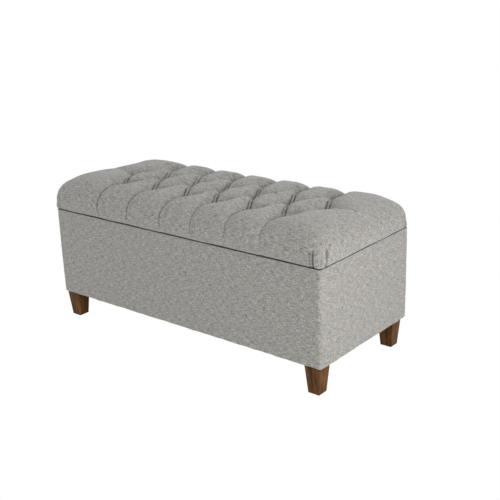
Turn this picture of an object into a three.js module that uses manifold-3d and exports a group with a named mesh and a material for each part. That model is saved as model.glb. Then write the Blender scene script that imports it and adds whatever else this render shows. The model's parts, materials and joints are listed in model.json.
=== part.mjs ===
// Upholstered storage bench: a fabric-covered box on four tapered legs, with a tufted lid that
// turns on two butt hinges at the back and is held open by two folding stays.
// Millimetres. +X is the bench's right as you face its front, +Y its back, +Z up.
// The origin is on the floor, under the middle of the bench.
import * as THREE from "three";
import { mergeVertices } from "three/addons/utils/BufferGeometryUtils.js";
import Module from "manifold-3d";

const wasm = await Module();
wasm.setup();

// ---- driving dimensions ----
const LENGTH = 1067; // over the covered base, end to end
const DEPTH = 460; // over the covered base, front to back
const HEIGHT = 488; // floor to the crown of the lid
const LEG_HEIGHT = 85.5; // floor to the underside of the covered base
const BASE_TOP = 377.5; // the rim that the lid closes onto
const SEAM = 4; // the shadow gap between base and lid
const OVERHANG = 7; // the padded lid stands out past the base all round
const GAP = 0.3; // clearance between pieces that touch

const PANEL = 12; // thickness of the wooden panels
const EASED = 4; // chamfer on the outer corners of the front and back panels
const CORNER = 10; // plan radius of the base's covered corners
const PADDING = 3; // fabric and its thin backing over the panels
const CLOTH = 1.2; // fabric where it is folded under or over an edge
const HEM = 24; // how far the base's fabric is folded in under the bottom
const LINING = 1; // the thin board-backed lining inside
const FLOOR = 110.5; // underside of the bottom panel
const BLOCK = 65; // corner blocks that take the legs
const LEG_TOP = 52;
const LEG_FOOT = 38;
// From a leg's top to the base's outer face. The back legs stand further in than the front ones.
const LEG_INSET = { side: 8.5, front: 5, back: 16 };
const BOLT_R = 4; // hanger bolt, 8 mm
const BOLT_FOOT = 50; // height of the bolt's lower end inside the leg
const BUMPER_R = 4.5;
const BUMPER_Y = 150; // bumpers, each side of the middle
const SHEET = 0.8; // the thin sheets under the bottom and under the lid
const BOARD = 12; // lid board
const LID_CORNER = 32; // plan radius of the lid's corners
const DRAWN_IN = 4; // how far the lid's side is drawn in at its foot
const SIDE_HEIGHT = 30; // from the lid's underside to where its side bulges most
const ROLL_IN = 80; // how far the top edge rolls inwards
const ROLL_UP = 68; // how far the top edge rolls upwards

const HINGE_X = 350; // hinge centre, each side of the middle
const HINGE_LENGTH = 80;
const KNUCKLES = 5;
const BARREL_R = 2.6;
const PIN_R = 1.3;
const LEAF = 1.2;
const LEAF_DEPTH = 14;

const STAY_PIVOT = [-40, -200]; // base pivot of the stay, from the lid's hinge line, as [y, z]
const STAY_LID_PIVOT = [-110, -16]; // lid pivot of the stay with the lid closed, as [y, z]
const STEEL = 2.2; // thickness of the stay's pressings
const ARM_WIDTH = 16;
const RIVET_R = 3;
const RIVET_HEAD_R = 5.5;
const RIVET_HEAD = 1.2;
const SCREW_R = 1.6;
const SCREW_HEAD_R = 3.6;
const SCREW_HEAD = 1.1;
const SCREW_TIP = 3; // wood left beyond a screw's tip

const SIDES = [
  ["left", -1],
  ["right", 1],
];
const ENDS = [
  ["front", -1],
  ["back", 1],
];

// ---- places worked out from them ----
const LID_BOTTOM = BASE_TOP + SEAM;
const HINGE_Y = DEPTH / 2 + 3.4;
const HINGE_Z = BASE_TOP + SEAM / 2;
const PANEL_OUT = PADDING;
const PANEL_IN = PADDING + PANEL;
const BOTTOM_EDGE = LEG_HEIGHT + CLOTH + 2 * GAP;
const TOP_EDGE = BASE_TOP - CLOTH - 2 * GAP;
const TUCK = PANEL_IN + GAP + CLOTH; // inner face of the fabric tucked over the rim
const BOARD_Z = LID_BOTTOM + CLOTH + GAP;
const BOARD_INSET = 8;
const LID_X = LENGTH / 2 + OVERHANG;
const LID_Y = DEPTH / 2 + OVERHANG;

// Across each end wall, from the lining inwards, the stay is a stack of thin layers.
const LINING_X = LENGTH / 2 - TUCK - GAP - LINING;
const PLATE_X = LINING_X - GAP;
const LOWER_X = PLATE_X - STEEL - GAP;
const UPPER_X = LOWER_X - STEEL - GAP;

// ---- materials ----
const material = (color, roughness, metalness = 0) =>
  new THREE.MeshStandardMaterial({ color, roughness, metalness });
const WOVEN = material(0xa29e97, 0.95);
const FOAM = material(0xe9e2c8, 0.9);
const NON_WOVEN = material(0x2b2b2d, 0.95);
const PLY = material(0xc8a777, 0.7);
const WALNUT = material(0x6b4527, 0.45);
const ZINC = material(0xb9bcc0, 0.35, 1);
const RUBBER = material(0x2a2a2a, 0.8);

const bench = new THREE.Group();

function add(name, geometry, mat, parent = bench) {
  const mesh = new THREE.Mesh(geometry, mat);
  mesh.name = name;
  parent.add(mesh);
  return mesh;
}

// ---- solids ----
function toSolid(geometry) {
  const bare = geometry.index ? geometry.toNonIndexed() : geometry.clone();
  bare.deleteAttribute("normal");
  bare.deleteAttribute("uv");
  const merged = mergeVertices(bare, 1e-4);
  const vertProperties = merged.attributes.position.array;
  const triVerts = new Uint32Array(merged.index.array);
  return new wasm.Manifold(new wasm.Mesh({ numProp: 3, vertProperties, triVerts }));
}

function toGeometry(solid) {
  const mesh = solid.getMesh();
  const stride = mesh.numProp;
  const points = new Float32Array(mesh.numVert * 3);
  for (let i = 0; i < mesh.numVert; i++) {
    points.set(mesh.vertProperties.subarray(i * stride, i * stride + 3), i * 3);
  }
  const geometry = new THREE.BufferGeometry();
  geometry.setAttribute("position", new THREE.BufferAttribute(points, 3));
  geometry.setIndex(new THREE.BufferAttribute(mesh.triVerts, 1));
  return geometry;
}

const cut = (geometry, ...tools) =>
  toGeometry(tools.reduce((solid, tool) => solid.subtract(toSolid(tool)), toSolid(geometry)));
const join = (geometry, ...others) =>
  toGeometry(others.reduce((solid, other) => solid.add(toSolid(other)), toSolid(geometry)));

// A box between two corners.
function block(x0, x1, y0, y1, z0, z1) {
  const box = new THREE.BoxGeometry(x1 - x0, y1 - y0, z1 - z0);
  return box.translate((x0 + x1) / 2, (y0 + y1) / 2, (z0 + z1) / 2);
}

// A cylinder along Z or X, from one end to the other.
function rodZ(x, y, z0, z1, r, sides = 10) {
  const rod = new THREE.CylinderGeometry(r, r, z1 - z0, sides).rotateX(Math.PI / 2);
  return rod.translate(x, y, (z0 + z1) / 2);
}

function rodX(x0, x1, y, z, r, sides = 12) {
  const rod = new THREE.CylinderGeometry(r, r, x1 - x0, sides).rotateZ(Math.PI / 2);
  return rod.translate((x0 + x1) / 2, y, z);
}

// One ring of a loft: a rounded rectangle at height z, anticlockwise seen from above.
function ring(halfX, halfY, radius, z, steps = 4) {
  const r = Math.max(0.4, Math.min(radius, halfX - 1, halfY - 1));
  const points = [];
  for (let corner = 0; corner < 4; corner++) {
    const cx = (halfX - r) * (corner === 0 || corner === 3 ? 1 : -1);
    const cy = (halfY - r) * (corner < 2 ? 1 : -1);
    for (let i = 0; i <= steps; i++) {
      const a = ((corner + i / steps) * Math.PI) / 2;
      points.push([cx + r * Math.cos(a), cy + r * Math.sin(a), z]);
    }
  }
  return points;
}

// Skins a stack of rings. A looped stack closes on itself, and any other gets a cap at each end.
function loft(rings, { looped = false, capZ = [rings[0][0][2], rings.at(-1)[0][2]] } = {}) {
  const n = rings[0].length;
  const points = rings.flat();
  const faces = [];
  const bands = looped ? rings.length : rings.length - 1;
  for (let i = 0; i < bands; i++) {
    const low = i * n;
    const high = ((i + 1) % rings.length) * n;
    for (let j = 0; j < n; j++) {
      const k = (j + 1) % n;
      faces.push(low + j, low + k, high + k, low + j, high + k, high + j);
    }
  }
  if (!looped) {
    const last = (rings.length - 1) * n;
    points.push([0, 0, capZ[0]], [0, 0, capZ[1]]);
    const start = points.length - 2;
    for (let j = 0; j < n; j++) {
      const k = (j + 1) % n;
      faces.push(start, k, j, start + 1, last + j, last + k);
    }
  }
  const geometry = new THREE.BufferGeometry();
  geometry.setAttribute("position", new THREE.Float32BufferAttribute(points.flat(), 3));
  geometry.setIndex(faces);
  return geometry;
}

// A profile of [inset, z] points, offset sideways by d to its left as it is walked.
function offset(profile, d) {
  return profile.map(([inset, z], i) => {
    const [i0, z0] = profile[Math.max(0, i - 1)];
    const [i1, z1] = profile[Math.min(profile.length - 1, i + 1)];
    const length = Math.hypot(i1 - i0, z1 - z0);
    return [inset + (d * (z1 - z0)) / length, z - (d * (i1 - i0)) / length];
  });
}

const baseRing = ([inset, z], radius) =>
  ring(LENGTH / 2 - inset, DEPTH / 2 - inset, radius, z);
const lidRing = ([inset, z], radius = LID_CORNER) => ring(LID_X - inset, LID_Y - inset, radius, z);

// ---- base ----
function makePanels() {
  const x = LENGTH / 2 - PANEL_OUT;
  const y = DEPTH / 2 - PANEL_OUT;
  const innerX = LENGTH / 2 - PANEL_IN;
  const innerY = DEPTH / 2 - PANEL_IN;
  for (const [end, t] of ENDS) {
    // The outer corners are eased so that they don't wear the cloth.
    const outline = [
      [-x, innerY],
      [x, innerY],
      [x, y - EASED],
      [x - EASED, y],
      [EASED - x, y],
      [-x, y - EASED],
    ].map((p) => new THREE.Vector2(...p));
    const height = { depth: TOP_EDGE - BOTTOM_EDGE, bevelEnabled: false };
    const wall = new THREE.ExtrudeGeometry(new THREE.Shape(outline), height);
    wall.translate(0, 0, BOTTOM_EDGE).rotateZ(t > 0 ? 0 : Math.PI);
    add(`${end}_panel`, wall, PLY);
  }
  for (const [side, s] of SIDES) {
    const wall = block(innerX, x, -innerY + GAP, innerY - GAP, BOTTOM_EDGE, TOP_EDGE);
    add(`${side}_panel`, mirrored(cut(wall, ...plateScrewHoles()), s), PLY);
  }
  const bx = innerX - GAP;
  const by = innerY - GAP;
  add("bottom_panel", block(-bx, bx, -by, by, FLOOR, FLOOR + PANEL), PLY);
}

// The woven cover: up the outside, over the rim and down inside it, and folded under the bottom.
function makeBaseCover() {
  const top = BASE_TOP;
  const outside = [
    [HEM, LEG_HEIGHT],
    [6, LEG_HEIGHT],
    [1.8, LEG_HEIGHT + 1.8],
    [0, LEG_HEIGHT + 6],
    [0, top - 5],
    [1.5, top - 1.5],
    [5, top],
    [TUCK - 1, top],
    [TUCK, top - 1],
    [TUCK, top - 25],
  ];
  const inside = [
    [PANEL_IN + GAP, top - 25],
    [PANEL_IN + GAP, top - CLOTH],
    [PANEL_OUT - GAP, top - CLOTH],
    [PANEL_OUT - GAP, LEG_HEIGHT + CLOTH],
    [HEM, LEG_HEIGHT + CLOTH],
  ];
  const rings = [...outside, ...inside].map((p) => baseRing(p, Math.max(2, CORNER - p[0])));
  rings[outside.length + 2] = baseRing(inside[2], EASED + 1);
  rings[outside.length + 3] = baseRing(inside[3], EASED + 1);
  add("base_cover", loft(rings, { looped: true }), WOVEN);
}

function makeLining() {
  const out = TUCK + GAP;
  const low = FLOOR + PANEL + GAP;
  const high = BASE_TOP - 3;
  const walls = [
    [out, low],
    [out, high],
    [out + LINING, high],
    [out + LINING, low + LINING],
  ];
  const tub = loft(walls.map((p) => baseRing(p, 2)));
  const holes = [1, -1].flatMap((s) => plateScrewHoles().map((hole) => mirrored(hole, s)));
  add("base_lining", cut(tub, ...holes), NON_WOVEN);
}

// Mirrors a geometry made for the right-hand end to the left, with its faces turned back out.
function mirrored(geometry, s) {
  if (s > 0) return geometry;
  const copy = (geometry.index ? geometry.toNonIndexed() : geometry.clone()).scale(-1, 1, 1);
  const p = copy.attributes.position;
  for (let i = 0; i < p.count; i += 3) {
    const a = [p.getX(i), p.getY(i), p.getZ(i)];
    p.setXYZ(i, p.getX(i + 1), p.getY(i + 1), p.getZ(i + 1));
    p.setXYZ(i + 1, ...a);
  }
  return copy;
}

// ---- legs ----
function makeLegs() {
  const dustHoles = [];
  const blockFar = PANEL_IN + GAP + BLOCK;
  const legTop = LEG_HEIGHT - CLOTH - GAP;
  for (const [side, s] of SIDES) {
    for (const [end, t] of ENDS) {
      const x = s * (LENGTH / 2 - LEG_INSET.side - LEG_TOP / 2);
      const y = t * (DEPTH / 2 - LEG_INSET[end] - LEG_TOP / 2);
      const name = `${end}_${side}`;
      const boltTop = FLOOR - 3;
      const boltHole = rodZ(x, y, BOLT_FOOT - GAP, boltTop + GAP, BOLT_R + GAP);
      const square = (half, z) => ring(half, half, 1.5, z, 1).map(([a, b, c]) => [a + x, b + y, c]);
      const leg = loftAt(x, y, [square(LEG_FOOT / 2, 0), square(LEG_TOP / 2, legTop)]);
      add(`leg_${name}`, cut(leg, boltHole), WALNUT);
      add(`leg_bolt_${name}`, rodZ(x, y, BOLT_FOOT, boltTop, BOLT_R), ZINC);
      const near = [LENGTH / 2 - PANEL_IN - GAP, DEPTH / 2 - PANEL_IN - GAP];
      const far = [LENGTH / 2 - blockFar, DEPTH / 2 - blockFar];
      const [x0, x1] = [s * near[0], s * far[0]].sort((a, b) => a - b);
      const [y0, y1] = [t * near[1], t * far[1]].sort((a, b) => a - b);
      const corner = block(x0, x1, y0, y1, BOTTOM_EDGE, FLOOR - GAP);
      add(`corner_block_${name}`, cut(corner, boltHole), PLY);
      dustHoles.push(boltHole);
    }
  }
  const sheetTop = LEG_HEIGHT - GAP;
  const sheet = [sheetTop - SHEET, sheetTop].map((z) => baseRing([10, z], 6));
  add("dust_cover", cut(loft(sheet), ...dustHoles), NON_WOVEN);
}

// A loft whose caps are centred on (x, y) and not on the origin.
function loftAt(x, y, rings) {
  const centred = rings.map((r) => r.map(([a, b, c]) => [a - x, b - y, c]));
  return loft(centred).translate(x, y, 0);
}

function makeBumpers() {
  for (const [side, s] of SIDES) {
    for (const [end, t] of ENDS) {
      const x = s * (LENGTH / 2 - PANEL_OUT - PANEL / 2);
      const pad = rodZ(x, t * BUMPER_Y, BASE_TOP + GAP, LID_BOTTOM - GAP, BUMPER_R, 12);
      add(`lid_bumper_${end}_${side}`, pad, RUBBER);
    }
  }
}

// ---- lid ----
// Half section of the lid's outside, from under the board, up the side, over the roll, to the crown.
function lidProfile() {
  const points = [
    [42, LID_BOTTOM],
    [BOARD_INSET, LID_BOTTOM],
    [DRAWN_IN + 1, LID_BOTTOM + 3],
    [DRAWN_IN / 2, LID_BOTTOM + SIDE_HEIGHT / 2],
  ];
  const rollZ = LID_BOTTOM + SIDE_HEIGHT;
  const rollSteps = 6;
  for (let i = 0; i <= rollSteps; i++) {
    const a = ((i / rollSteps) * Math.PI) / 2;
    points.push([ROLL_IN * (1 - Math.cos(a)), rollZ + ROLL_UP * Math.sin(a)]);
  }
  const crown = HEIGHT - rollZ - ROLL_UP;
  const crownSteps = 4;
  for (let i = 1; i <= crownSteps; i++) {
    const u = i / (crownSteps + 0.4);
    const inset = ROLL_IN + (LID_Y - ROLL_IN) * u;
    points.push([inset, rollZ + ROLL_UP + crown * (1 - (1 - u) ** 2)]);
  }
  return points;
}

function makeLid() {
  const outside = lidProfile();
  const inside = offset(outside, CLOTH).slice(1);
  inside[0] = [BOARD_INSET, LID_BOTTOM + CLOTH];
  const shell = [
    ...[...inside].reverse().map((p) => lidRing(p)),
    lidRing([42, LID_BOTTOM + CLOTH]),
    ...outside.map((p) => lidRing(p)),
  ];
  add("lid_cover", loft(shell, { capZ: [HEIGHT - CLOTH, HEIGHT] }), WOVEN, lid);

  const foamBottom = BOARD_Z + BOARD + GAP;
  const skin = CLOTH + GAP;
  const foamSide = offset(outside, skin).slice(4);
  const foam = [[skin + DRAWN_IN, foamBottom], ...foamSide].map((p) => lidRing(p));
  add("lid_foam", loft(foam, { capZ: [foamBottom, HEIGHT - skin] }), FOAM, lid);

  const screws = [1, -1].flatMap((s) => bracketScrewHoles().map((hole) => mirrored(hole, s)));
  const board = [BOARD_Z, BOARD_Z + BOARD].map((z) => lidRing([BOARD_INSET + 0.5, z]));
  add("lid_board", cut(loft(board), ...screws), PLY, lid);

  const sheetZ = LID_BOTTOM - GAP;
  const sheet = [sheetZ - SHEET, sheetZ].map((z) => lidRing([24, z], 8));
  add("lid_lining", cut(loft(sheet), ...screws), NON_WOVEN, lid);
}

// ---- hinges ----
// One leaf with its knuckles. parity 0 takes the outer knuckles and parity 1 those between.
function hingeLeaf(cx, parity, z0) {
  const pitch = HINGE_LENGTH / KNUCKLES;
  const edge = HINGE_Y - BARREL_R - 0.6;
  const left = cx - HINGE_LENGTH / 2;
  const plate = block(left, left + HINGE_LENGTH, edge - LEAF_DEPTH, edge, z0, z0 + LEAF);
  const parts = [];
  for (let k = parity; k < KNUCKLES; k += 2) {
    const x0 = left + k * pitch + GAP;
    const x1 = left + (k + 1) * pitch - GAP;
    parts.push(block(x0, x1, edge - 1, HINGE_Y, z0, z0 + LEAF));
    parts.push(rodX(x0, x1, HINGE_Y, HINGE_Z, BARREL_R));
  }
  const bore = rodX(left - 1, left + HINGE_LENGTH + 1, HINGE_Y, HINGE_Z, PIN_R + 0.2);
  return cut(join(plate, ...parts), bore);
}

function makeHinges() {
  for (const [side, s] of SIDES) {
    const cx = s * HINGE_X;
    const half = HINGE_LENGTH / 2;
    const leafZ = [BASE_TOP + GAP, LID_BOTTOM - GAP - LEAF];
    add(`hinge_base_leaf_${side}`, hingeLeaf(cx, 0, leafZ[0]), ZINC);
    add(`hinge_lid_leaf_${side}`, hingeLeaf(cx, 1, leafZ[1]), ZINC, lid);
    add(`hinge_pin_${side}`, rodX(cx - half, cx + half, HINGE_Y, HINGE_Z, PIN_R), ZINC);
  }
}

// ---- folding stays, made for the right-hand end ----
const pivot = { y: HINGE_Y + STAY_PIVOT[0], z: HINGE_Z + STAY_PIVOT[1] };
const lidPivot = { y: HINGE_Y + STAY_LID_PIVOT[0], z: HINGE_Z + STAY_LID_PIVOT[1] };

// Hinge line, lid pivot, knee and base pivot are the corners of a parallelogram, so the lower arm
// turns exactly as the lid does and the upper arm keeps its slant.
const knee = { y: pivot.y + STAY_LID_PIVOT[0], z: pivot.z + STAY_LID_PIVOT[1] };

// A flat link with round ends and a hole at each, x being its outboard or inboard face.
function link(from, to, x) {
  const length = Math.hypot(to.y - from.y, to.z - from.z);
  const half = ARM_WIDTH / 2;
  const outline = new THREE.Shape();
  outline.absarc(0, 0, half, Math.PI / 2, (3 * Math.PI) / 2, false);
  outline.absarc(length, 0, half, -Math.PI / 2, Math.PI / 2, false);
  const punch = [0, length].map((at) => {
    const hole = new THREE.Path();
    hole.absarc(at, 0, RIVET_R + GAP, 0, 2 * Math.PI, true);
    return hole;
  });
  outline.holes.push(...punch);
  const bar = new THREE.ExtrudeGeometry(outline, {
    depth: STEEL,
    bevelEnabled: false,
    curveSegments: 8,
  });
  // The outline's x runs along the arm, and its thickness runs across the bench.
  const along = new THREE.Vector3(0, to.y - from.y, to.z - from.z).normalize();
  const across = new THREE.Vector3(1, 0, 0);
  const turn = new THREE.Matrix4().makeBasis(along, across.clone().cross(along), across);
  return bar.applyMatrix4(turn).translate(x, from.y, from.z);
}

const rivet = (x0, x1, at) => rodX(x0, x1, at.y, at.z, RIVET_R);
const head = (x0, at) => rodX(x0, x0 + RIVET_HEAD, at.y, at.z, RIVET_HEAD_R, 16);

const plateScrews = [-9, 9].map((dy) => ({ y: pivot.y + dy, z: pivot.z - 23 }));
const bracketScrews = [-13, 13].map((dy) => ({ x: UPPER_X - STEEL - 20, y: lidPivot.y + dy }));
const BRACKET_Z = LID_BOTTOM - 2 * GAP - SHEET - STEEL;

function plateScrewHoles() {
  return plateScrews.map(({ y, z }) =>
    rodX(PLATE_X - STEEL - 1, LENGTH / 2 - PADDING - SCREW_TIP, y, z, SCREW_R + GAP, 8),
  );
}

function bracketScrewHoles() {
  return bracketScrews.map(({ x, y }) =>
    rodZ(x, y, BRACKET_Z - 1, BOARD_Z + BOARD - SCREW_TIP + GAP, SCREW_R + GAP, 8),
  );
}

function makeStay(side, s) {
  const put = (name, geometry, parent = bench) =>
    add(`stay_${name}_${side}`, mirrored(geometry, s), ZINC, parent);
  const [py, pz] = [pivot.y, pivot.z];
  const plate = block(PLATE_X - STEEL, PLATE_X, py - 16, py + 16, pz - 32, pz + 12);
  const pivotHole = rodX(PLATE_X - 5, PLATE_X + 5, pivot.y, pivot.z, RIVET_R + GAP);
  put("plate", cut(plate, pivotHole, ...plateScrewHoles()));
  const pivotShank = rivet(UPPER_X - 0.5, PLATE_X, pivot);
  put("base_rivet", join(pivotShank, head(UPPER_X - RIVET_HEAD, pivot)));

  put("lower_arm", link(pivot, knee, LOWER_X - STEEL), stays[side].lower);
  const kneeRivet = join(
    rivet(UPPER_X - STEEL - GAP - 0.5, LOWER_X + GAP + 0.5, knee),
    head(LOWER_X + GAP, knee),
    head(UPPER_X - STEEL - GAP - RIVET_HEAD, knee),
  );
  put("knee_rivet", kneeRivet, stays[side].lower);
  put("upper_arm", link(knee, lidPivot, UPPER_X - STEEL), stays[side].upper);

  const [y0, y1] = [lidPivot.y - 20, lidPivot.y + 20];
  const wing = block(LOWER_X - STEEL, LOWER_X, y0, y1, lidPivot.z - 10, BRACKET_Z + 1);
  const flange = block(LOWER_X - 36, LOWER_X, y0, y1, BRACKET_Z, BRACKET_Z + STEEL);
  const lidHole = rodX(LOWER_X - 5, LOWER_X + 5, lidPivot.y, lidPivot.z, RIVET_R + GAP);
  put("lid_bracket", cut(join(flange, wing), lidHole, ...bracketScrewHoles()), lid);
  const lidRivet = join(
    rivet(UPPER_X - STEEL - GAP - 0.5, LOWER_X + GAP + 0.5, lidPivot),
    head(LOWER_X + GAP, lidPivot),
    head(UPPER_X - STEEL - GAP - RIVET_HEAD, lidPivot),
  );
  put("lid_rivet", lidRivet, lid);

  plateScrews.forEach(({ y, z }, i) => {
    const x = PLATE_X - STEEL - GAP;
    const shank = rodX(x - 0.5, LENGTH / 2 - PADDING - SCREW_TIP - GAP, y, z, SCREW_R, 8);
    const flange = rodX(x - SCREW_HEAD, x, y, z, SCREW_HEAD_R, 16);
    put(`plate_screw_${i + 1}`, join(shank, flange));
  });
  bracketScrews.forEach(({ x, y }, i) => {
    const z = BRACKET_Z - GAP;
    const shank = rodZ(x, y, z - 0.5, BOARD_Z + BOARD - SCREW_TIP, SCREW_R, 8);
    const flange = rodZ(x, y, z - SCREW_HEAD, z, SCREW_HEAD_R, 16);
    put(`bracket_screw_${i + 1}`, join(shank, flange), lid);
  });
}

// ---- assembly ----
const lid = new THREE.Group();
bench.add(lid);
const stays = {};
for (const [side] of SIDES) {
  stays[side] = { lower: new THREE.Group(), upper: new THREE.Group() };
  stays[side].lower.add(stays[side].upper);
  bench.add(stays[side].lower);
}

makePanels();
makeBaseCover();
makeLining();
makeLegs();
makeBumpers();
makeLid();
makeHinges();
for (const [side, s] of SIDES) makeStay(side, s);

export default bench;
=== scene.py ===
"""Storage bench: the tufted lid, the upholstered box and every finish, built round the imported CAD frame.

Lengths are in metres unless a name ends in MM or a comment says mm. +X is the bench's right, +Y its
back, +Z up.
"""

import json
import math

import bpy
import numpy as np
from mathutils import Matrix, Vector


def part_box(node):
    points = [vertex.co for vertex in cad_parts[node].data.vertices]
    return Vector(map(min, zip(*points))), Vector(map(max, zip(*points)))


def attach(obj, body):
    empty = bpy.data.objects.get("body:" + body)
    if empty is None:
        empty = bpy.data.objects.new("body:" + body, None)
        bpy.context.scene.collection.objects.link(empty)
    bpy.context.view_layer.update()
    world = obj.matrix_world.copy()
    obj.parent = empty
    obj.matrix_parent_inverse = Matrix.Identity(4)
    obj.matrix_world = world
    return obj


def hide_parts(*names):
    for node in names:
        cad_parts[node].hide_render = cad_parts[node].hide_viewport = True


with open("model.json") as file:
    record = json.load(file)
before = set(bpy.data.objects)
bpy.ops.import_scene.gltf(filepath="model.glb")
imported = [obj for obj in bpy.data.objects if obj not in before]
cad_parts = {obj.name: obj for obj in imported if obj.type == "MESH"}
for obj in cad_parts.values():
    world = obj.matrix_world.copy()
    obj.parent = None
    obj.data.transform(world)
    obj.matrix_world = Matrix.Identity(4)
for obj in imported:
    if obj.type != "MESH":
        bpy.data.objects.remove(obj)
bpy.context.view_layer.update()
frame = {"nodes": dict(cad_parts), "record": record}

SEED = 7
MM = 0.001
CLOTH = 1.2 * MM  # thickness of the fabric


# ---- camera ----

CAMERA_AT = Vector((1.8039, -2.0510, 1.1947))
CAMERA_TURN = math.radians(39.61)  # round the bench, from straight in front towards its right end
CAMERA_TILT = math.radians(18.82)  # above the horizon
CAMERA_ROLL = math.radians(-1.92)
LENS_MM = 64.8
SENSOR_MM = 36


def make_camera():
    tilt, turn = CAMERA_TILT, CAMERA_TURN
    back = Vector((math.sin(turn) * math.cos(tilt), -math.cos(turn) * math.cos(tilt), math.sin(tilt)))
    right = Vector((math.cos(turn), math.sin(turn), 0))
    up = back.cross(right)
    right, up = (
        math.cos(CAMERA_ROLL) * right + math.sin(CAMERA_ROLL) * up,
        math.cos(CAMERA_ROLL) * up - math.sin(CAMERA_ROLL) * right,
    )
    data = bpy.data.cameras.new("camera")
    data.lens, data.sensor_width = LENS_MM, SENSOR_MM
    camera = bpy.data.objects.new("camera", data)
    bpy.context.scene.collection.objects.link(camera)
    camera.matrix_world = Matrix.Translation(CAMERA_AT) @ Matrix((right, up, back)).transposed().to_4x4()
    bpy.context.scene.camera = camera


make_camera()


# ---- materials ----


class Nodes:
    """A short way to write a node tree."""

    def __init__(self, name):
        self.material = bpy.data.materials.new(name)
        self.material.use_nodes = True
        self.tree = self.material.node_tree
        self.tree.nodes.clear()
        self.shader = self.add("BsdfPrincipled")
        output = self.add("OutputMaterial")
        self.tree.links.new(self.shader.outputs[0], output.inputs["Surface"])

    def add(self, kind, inputs=(), **settings):
        node = self.tree.nodes.new("ShaderNode" + kind)
        for key, value in settings.items():
            setattr(node, key, value)
        for key, value in dict(inputs).items():
            self.put(node.inputs[key], value)
        return node

    def put(self, socket, value):
        if isinstance(value, bpy.types.NodeSocket):
            self.tree.links.new(value, socket)
        else:
            socket.default_value = value

    def math(self, operation, a, b=0.0):
        return self.add("Math", {0: a, 1: b}, operation=operation).outputs[0]

    def scaled(self, vector, factors):
        return self.add("VectorMath", {0: vector, 1: factors}, operation="MULTIPLY").outputs[0]

    def noise(self, vector, scale=1.0, detail=2.0, roughness=0.5):
        """Soft noise, about 0 to 1. Coordinates are in metres, so scale is patches a metre."""
        sizes = {"Vector": vector, "Scale": scale, "Detail": detail, "Roughness": roughness}
        return self.add("TexNoise", sizes).outputs["Fac"]

    def ramp(self, value, low, high):
        """value, taken from low..high to 0..1."""
        ends = {"Value": value, "From Min": low, "From Max": high}
        return self.add("MapRange", ends).outputs["Result"]

    def blend(self, factor, a, b):
        node = self.add("Mix", {"Factor": factor}, data_type="RGBA")
        self.put(node.inputs[6], a)
        self.put(node.inputs[7], b)
        return node.outputs[2]

    def bump(self, height, distance, strength):
        shape = {"Height": height, "Distance": distance, "Strength": strength}
        return self.add("Bump", shape).outputs[0]

    def finish(self, **sockets):
        for key, value in sockets.items():
            self.put(self.shader.inputs[key.replace("_", " ")], value)
        return self.material


def grey(level, warmth=0.0):
    """A linear colour of that brightness, warmer by a share of it."""
    return (level * (1 + warmth), level, level * (1 - 1.6 * warmth), 1.0)


FABRIC_DARK = grey(0.045, 0.047)
FABRIC_LIGHT = grey(0.40, 0.047)
YARN = 1.15 * MM  # pitch of the weave
ACROSS = 430  # how quickly the cloth's shade changes from yarn to yarn, a metre
ALONG_WARP, ALONG_WEFT = 78, 60  # and how slowly along a yarn
PAINTED_FOLD_SHADE = 0.8  # painted shade: how much darker the cloth's colour is made down its folds
TURNED_IN_PAINTED_SHADE = 1.2  # painted shade, as a fold value, for cloth turned in at the lid's foot, under the lid and down inside the box's rim


def woven_material():
    """Heathered plain weave: yarns of uneven thickness and shade along both directions of the cloth."""
    n = Nodes("woven_heather")
    cloth = n.add("UVMap", uv_map="cloth").outputs[0]
    warp = n.noise(n.scaled(cloth, (ACROSS, ALONG_WARP, 1)), detail=2.0, roughness=0.7)
    weft = n.noise(n.scaled(cloth, (ALONG_WEFT, ACROSS, 1)), detail=2.0, roughness=0.7)
    speckle = n.noise(cloth, scale=ACROSS, detail=1.0)
    patches = n.noise(cloth, scale=45.0, detail=1.0)
    shade = n.math("ADD", n.math("MULTIPLY", warp, 1.0), n.math("MULTIPLY", weft, 1.3))
    shade = n.math("ADD", shade, n.math("MULTIPLY", speckle, 0.9))
    shade = n.math("ADD", shade, n.math("MULTIPLY", patches, 0.15))
    shade = n.ramp(shade, 1.265, 2.08)
    colour = n.blend(shade, FABRIC_DARK, FABRIC_LIGHT)
    # Painted shade: the fold attribute blends the colour towards near black down folds, in tuft pits and
    # on turned-in cloth.
    fold = n.add("Attribute", attribute_name="fold").outputs["Fac"]
    colour = n.blend(n.math("MULTIPLY", fold, PAINTED_FOLD_SHADE), colour, grey(0.02))
    x, y, _ = n.add("SeparateXYZ", {0: cloth}).outputs
    over = n.math("SINE", n.math("MULTIPLY", x, math.tau / YARN))
    under = n.math("SINE", n.math("MULTIPLY", y, math.tau / YARN))
    weave = n.math("MULTIPLY", over, under)
    height = n.math("ADD", n.math("MULTIPLY", weave, 0.3), n.math("MULTIPLY", shade, 1.0))
    normal = n.bump(height, 0.35 * MM, 0.55)
    rough = n.ramp(shade, 1.6, -0.4)
    rough = n.math("ADD", n.math("MULTIPLY", rough, 0.1), 0.84)
    return n.finish(
        Base_Color=colour, Roughness=rough, Normal=normal, Specular_IOR_Level=0.2,
        Sheen_Weight=0.25, Sheen_Roughness=0.6,
    )


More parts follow.
